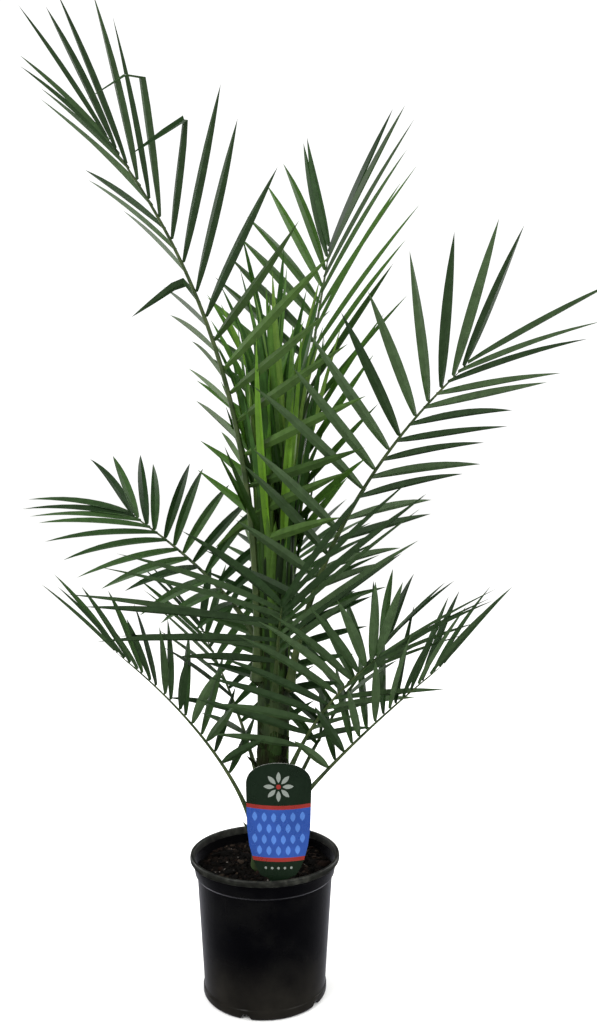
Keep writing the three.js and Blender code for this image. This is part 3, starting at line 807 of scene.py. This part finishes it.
def leaf_base(f, rows=14, columns=15):
    """Outer point (u, v): angle az + v times a half angle that narrows from 75 to 9 degrees, radius the
    stem's plus a swell (1 - v^2) (1.2 + 4.2 u^1.5) sin(pi u^0.8)^0.4; its inner points and its edges lie
    inside the stem."""
    u = np.linspace(0, 1, rows)[:, None]
    v = np.linspace(-1, 1, columns)[None]
    z = f["z"] + 10 - BASE_DROP * (1 - u) - 6 * (1 - u) * (1 - v**2)
    z = np.maximum(z, SOIL_Z - 4)
    half = np.radians(9 + 66 * (1 - u) ** 1.2)
    angle = math.radians(f["az"]) + v * half
    swell = (1 - v**2) * (1.2 + 4.2 * u**1.5) * np.sin(np.pi * np.clip(u, 0.02, 0.98) ** 0.8) ** 0.4
    skin = stem_radius(z) - 0.6
    outer, inner = polar(skin + 0.2 + swell, angle), polar(skin - 1.2, angle)
    return pointed(np.concatenate([stem_axis(z) + outer, (stem_axis(z) + inner)[:, ::-1]], 1))


base_green = finish(
    "base_green",
    [(0.007, 0.009, 0.0025), (0.013, 0.024, 0.0048), (0.022, 0.046, 0.008), (0.050, 0.068, 0.017)],
    roughness=0.6, grain=45, squeeze=(1, 1, 0.2), bump=0.6, gloss=0.35,
)
bases = np.stack([leaf_base(f) for f in FRONDS if not f["inner"]])
ring_piece("leaf_bases", bases, [base_green], "stem_fibre", crease=60)

# %% [markdown]
# ## The heart
#
# Above the stem stands the heart: the feet of the youngest fronds wrapped round each other in a column
# that widens upwards, and between them the newest leaflets, still upright and bright. The wrapped feet
# are patches on that column, like the leaf bases, only longer and drawn out to a rib. The new leaflets
# are the same folded blades as everywhere else.

# %% Wrapped feet of the young fronds
GOLDEN = 2.39996  # the golden angle, in radians
FEET = 34


def column_radius(z):
    """The stem's radius up to 450 mm height, then widening by 17 mm up to 700 mm."""
    return stem_radius(np.minimum(z, 470)) + 17 * np.clip((z - 450) / 250, 0, 1) ** 1.1


def wrapped_feet(rows=26, columns=9):
    """Patch k at angle k golden turns: height foot + length u, radius the column's less a share that grows
    with k, half width 2.5 + 10 (1 - u)^1.1, domed outwards by (1 - v^2)."""
    k = np.arange(FEET)[:, None, None]
    u = np.linspace(0, 1, rows)[None, :, None]
    v = np.linspace(-1, 1, columns)[None, None, :]
    z = 300 + 220 * k / FEET + (250 - 35 * k / FEET) * u
    half = 2.5 + 10 * (1 - u) ** 1.1
    skin = column_radius(z) - 5 * k / FEET * u - 2.0
    angle = GOLDEN * k + 0.12 * np.sin(5 * u + k) + v * half / skin
    dome = (1 - v**2) * (2.2 + 2.4 * u) + 0.25 * np.cos(9 * v)
    outer, inner = polar(skin + dome, angle), polar(skin - 1.4, angle)
    return pointed(np.concatenate([stem_axis(z) + outer, (stem_axis(z) + inner)[..., ::-1, :]], 2))


heart_greens = greens(
    "heart_green", [(0.007, 0.018, 0.003), (0.017, 0.044, 0.005), (0.040, 0.088, 0.009)], 0.5, 0.22)
foot_shade = np.random.default_rng(5).choice(len(heart_greens), FEET, p=(0.4, 0.4, 0.2))
ring_piece("heart_feet", wrapped_feet(), heart_greens, "stem_fibre", pick=foot_shade, crease=60)

# %% New leaflets of the heart
HEART_LOW, HEART_RISE, HEART_TOP = 530, 130, 900
HEART_SEED = 77


def new_leaflets(count=36, seed=31):
    """Roots between 530 and 660 mm at up to 0.8 of the column's radius, leaning out by up to 13 degrees
    with that share, and none long enough to reach above 900 mm."""
    chance = np.random.default_rng(seed)
    k = np.arange(count)
    a = GOLDEN * k + chance.uniform(-0.3, 0.3, count)
    share = np.sqrt(chance.uniform(0.02, 1, count))
    z = HEART_LOW + HEART_RISE * (k + 0.5) / count + chance.uniform(-10, 10, count)
    out = polar(1, a)
    side = np.cross(UP, out)
    lean = np.radians(1.5 + 11.5 * share + chance.normal(0, 1.2, count))[:, None]
    sway = np.radians(chance.normal(0, 3, count))[:, None]
    d = unit(UP * np.cos(lean) + out * np.sin(lean) + side * np.sin(sway))
    root = stem_axis(z) + out * (0.8 * share * column_radius(z))[:, None]
    length = np.minimum(chance.uniform(170, 300, count), HEART_TOP - z)
    facing = chance.choice([-1.0, 1.0], count)
    turn = chance.normal(0, 0.5, count)[:, None]
    across = side * np.cos(turn) + out * np.sin(turn)
    width = unit(across - d * (across * d).sum(-1, keepdims=True))
    plain = dict(u=np.ones(count), fold=np.full(count, 9.0), number=k + 0.0)
    return dict(plain, root=root, d=d, width=width, length=length, row=facing)


new = new_leaflets()
new_rings = blades(new, 6.6, sag=0.03, out=polar(1, 0.0), seed=HEART_SEED, fold_deg=32, belly=0.45)
new_picks = leaf_picks(new, HEART_SEED)
ring_piece("heart_leaflets", new_rings, young_top + young_under, "young_leaf", pick=new_picks, crease=35)

# %% [markdown]
# ## Stubs and fibre
#
# Below the living fronds stand the cut ends of older ones, and brown threads fray out of every base. Both
# are slender tapered bodies: three-sided for a thread, wider and blunt for a stub.

# %% Stubs and threads on the stem
def slivers(count, low, high, size, tilt, width, depth, sides, seed, blunt):
    """Bodies with sides-cornered rings that leave the stem between the heights low and high, rise at an
    angle within tilt, are size long and shrink as (1 - w)^blunt along their length."""
    chance = np.random.default_rng(seed)
    z = np.linspace(low, high, count) + chance.uniform(-6, 6, count)
    a = np.arange(count) * GOLDEN + chance.uniform(-0.5, 0.5, count)
    out = polar(1, a)
    side = np.cross(UP, out)
    lean = np.radians(chance.uniform(*tilt, count))[:, None]
    way = out * np.cos(lean) + UP * np.sin(lean) + side * chance.normal(0, 0.25, count)[:, None]
    length = chance.uniform(*size, count)[:, None, None, None]
    root = stem_axis(z) + out * (stem_radius(z) - 2)[:, None]
    w = np.linspace(0, 1, 5)[None, :, None, None]
    q = np.linspace(0, 2 * np.pi, sides, endpoint=False)[None, None, :, None]
    taper = np.maximum(1 - w, 0) ** blunt
    curl = out[:, None, None] * (w**2 * length * 0.25)
    line = root[:, None, None] + way[:, None, None] * w * length + curl
    ring = side[:, None, None] * width * np.cos(q) + np.cross(way, side)[:, None, None] * depth * np.sin(q)
    return pointed(line + ring * taper)


thread_brown = finish(
    "thread_brown", [(0.012, 0.010, 0.0040), (0.040, 0.034, 0.015)], roughness=0.85, grain=200, gloss=0.15
)
stubs = slivers(
    13, 182, 330, size=(12, 30), tilt=(50, 72), width=5.5, depth=2.6, sides=8, seed=5, blunt=0.35
)
ring_piece("old_stubs", stubs, [stem_fibre], "stem_fibre", crease=60)
threads = slivers(
    260, 172, 500, size=(8, 26), tilt=(55, 84), width=0.5, depth=0.4, sides=3, seed=9, blunt=0.8
)
ring_piece("stem_threads", threads, [thread_brown], "stem_fibre")

# %% [markdown]
# ## The plant tag
#
# The tag is a thin printed card, bowed from side to side, with a round head and a stake that goes down
# behind the rim. Its rows of points lie exactly on the edges of the printed bands, so each band is a set
# of faces with its own ink. The pattern is a plain one with no picture or words: a rosette in the head, a
# lattice of almonds in the blue field and a row of dots below it, laid a tenth of a millimetre over the card.

# %% Card and bands
TAG_X, TAG_Y, TAG_LEAN, TAG_TOP, TAG_STAKE, TAG_BOW = 20.0, -76.0, 10.0, 332.0, 38.0, 75.0
TAG_HEAD = 30.0
TAG_SHOULDER = TAG_TOP - TAG_HEAD
# heights of the card and its half widths there, from the point of the stake to the shoulder
TAG_EDGE = [(130, 5), (176, 8), (186, 13), (189, 22), (197, 27.5), (207, 32), (225, 37), (247, 40),
            (TAG_SHOULDER, 41.5)]
BANDS = [("tag_green", 130), ("tag_red", 207), ("tag_blue", 212), ("tag_red", 273), ("tag_green", 278)]


def tag_half(z):
    """Half width: narrow stake, a widening over the rim, and a round head
    half (1 - ((z - shoulder) / 30)^2.1)^(1 / 2.1)."""
    body = np.interp(z, *zip(*TAG_EDGE))
    head = np.clip((z - TAG_SHOULDER) / TAG_HEAD, 0, 1) ** 2.1
    return body * (1 - head) ** (1 / 2.1)


def tag_face(x, z, depth):
    """A point of the card: it leans forward up to the rim and bows back with x^2 / (2 bow)."""
    rise = np.clip((z - SOIL_Z + TAG_STAKE) / (POT_HEIGHT - SOIL_Z + TAG_STAKE), 0, 1)
    y = TAG_Y - TAG_LEAN * rise + x**2 / (2 * TAG_BOW) + depth
    return np.stack(np.broadcast_arrays(TAG_X + x, y, z), -1)


def ink(name, colour):
    """Glossy print with a little unevenness."""
    shades = [tuple(0.88 * c for c in colour), tuple(1.1 * c for c in colour)]
    return finish(name, shades, roughness=0.28, grain=30, bump=0.05, gloss=0.5, wear=0.05)


INKS = dict(
    tag_blue=(0.012, 0.050, 0.24), tag_sky=(0.05, 0.14, 0.42), tag_red=(0.20, 0.014, 0.010),
    tag_green=(0.0060, 0.014, 0.0065), tag_pale=(0.17, 0.19, 0.17), tag_white=(0.45, 0.45, 0.43),
)
inks = {name: ink(name, colour) for name, colour in INKS.items()}


def tag_card(columns=15):
    """Front rows from left to right, back rows from right to left, closed at the top and at the foot."""
    edges = [z for _, z in BANDS]
    corners = [z for z, _ in TAG_EDGE[1:4]]
    body = np.linspace(TAG_EDGE[0][0], TAG_SHOULDER, 30)
    head = TAG_SHOULDER + TAG_HEAD * np.sin(np.linspace(0, np.pi / 2, 18))
    z = np.unique(np.concatenate([body, edges, corners, head]))
    x = np.linspace(-1, 1, columns)[None] * tag_half(z)[:, None]
    front, back = tag_face(x, z[:, None], -0.5), tag_face(x, z[:, None], 0.5)[:, ::-1]
    card = np.concatenate([front, back], 1)
    card[0] = card[0].mean(0)
    middle = (z[1:] + z[:-1]) / 2
    names = list(inks)
    band = np.array([names.index(BANDS[k][0]) for k in np.searchsorted(edges, middle, "right") - 1])
    pick = np.repeat(band[:, None], 2 * columns, 1)
    pick[:, columns - 1:] = names.index("tag_white")
    return card, pick


card, card_pick = tag_card()
ring_piece("tag_card", card, list(inks.values()), "tag_plastic", "plant_tag", pick=card_pick, crease=50)

# %% Printed shapes
def patch(x, z, depth):
    """A thin closed plate over the card: its face stands depth in front of it, its back touches it, and
    the two meet along the first and the last row."""
    face = tag_face(x, z, -0.5 - depth)
    back = tag_face(x, z, -0.5)
    back[0], back[-1] = face[0], face[-1]
    return np.concatenate([face, back[:, ::-1]], 1)


def oval(x0, z0, angle, length, half, power=1.0, columns=9):
    """From (x0, z0) along the angle, in degrees: position length (1 - cos pi w) / 2, half width
    half sin(pi w)^power. Power 1 gives an ellipse and power 2 a pointed leaf."""
    w, v = np.linspace(0, 1, 17)[:, None], np.linspace(1, -1, columns)[None]
    ahead = length * (1 - np.cos(np.pi * w)) / 2 + 0 * v
    across = half * np.sin(np.pi * w) ** power * v
    a = math.radians(angle)
    return x0 + ahead * math.cos(a) - across * math.sin(a), z0 + ahead * math.sin(a) + across * math.cos(a)


def printed():
    """The shapes of the pattern: ink name, outline and how far they stand out."""
    for row in range(4):
        foot = 215 + 14 * row
        for x in np.arange(-36, 37, 12) + 6 * (row % 2):
            if abs(x) < tag_half(foot) - 4:
                yield "tag_sky", oval(x, foot, 90, 12, 3.2, 2), 0.12
    for angle in range(0, 360, 45):
        a = math.radians(angle)
        yield "tag_pale", oval(5 * math.cos(a), 302 + 5 * math.sin(a), angle, 14, 2.8, 2), 0.14
    yield "tag_red", oval(-3, 302, 0, 6, 3), 0.14
    for x in range(-16, 17, 8):
        yield "tag_pale", oval(x - 1.6, 199, 0, 3.2, 1.6), 0.14


plates = [(name, patch(x, z, depth)) for name, (x, z), depth in printed()]
for name in dict.fromkeys(name for name, _ in plates):
    same = np.stack([plate for other, plate in plates if other == name])
    ring_piece(name.replace("tag_", "tag_print_"), same, [inks[name]], "tag_plastic")

# %% [markdown]
# ## Floor and light
#
# The palm stands on a plain pale floor under soft studio light: a large lamp on the left, a weaker one on
# the right, one overhead and two strips behind it, with a white world that fills the shadows.

# %% Floor, lamps and world
floor_finish = finish(
    "floor_pale", [(0.90, 0.90, 0.89), (0.92, 0.92, 0.91)], roughness=0.9, grain=3, bump=0.02, gloss=0
)
FLOOR_REACH = 30000.0
floor_ends = (-FLOOR_REACH, FLOOR_REACH)
floor_points = np.array([[(x, y, -0.2) for x in floor_ends] for y in floor_ends])
floor_mesh = mesh_of("floor", floor_points, grid_quads(2, 2), [floor_finish], merge=False)
floor = add_object("floor", floor_mesh)
floor.visible_glossy = False


def lamp(name, place, width, height, power):
    """An area lamp that looks at the middle of the palm."""
    data = bpy.data.lights.new(name, "AREA")
    data.shape, data.size, data.size_y, data.energy = "RECTANGLE", width, height, power
    thing = add_object(name, data)
    away = np.array(place) - np.array([0, 0, 0.6])
    thing.location = place
    tilt = math.atan2(math.hypot(away[0], away[1]), away[2])
    thing.rotation_euler = (tilt, 0, math.atan2(away[0], -away[1]))
    thing.visible_camera = False


lamp("lamp_key", (-1.9, -1.9, 2.6), 1.6, 1.6, 75)
lamp("lamp_fill", (2.4, -1.4, 1.9), 1.6, 1.6, 35)
lamp("lamp_top", (0.2, 0.8, 3.3), 2.0, 2.0, 45)
lamp("strip_left", (-1.5, 1.1, 0.8), 0.9, 1.6, 14)
lamp("strip_right", (1.5, 1.1, 0.8), 0.9, 1.6, 14)
world = bpy.data.worlds.new("studio")
bpy.context.scene.world = world
world.use_nodes = True
world.node_tree.nodes["Background"].inputs["Color"].default_value = (1, 1, 1, 1)
world.node_tree.nodes["Background"].inputs["Strength"].default_value = 1.12
world.cycles_visibility.glossy = False
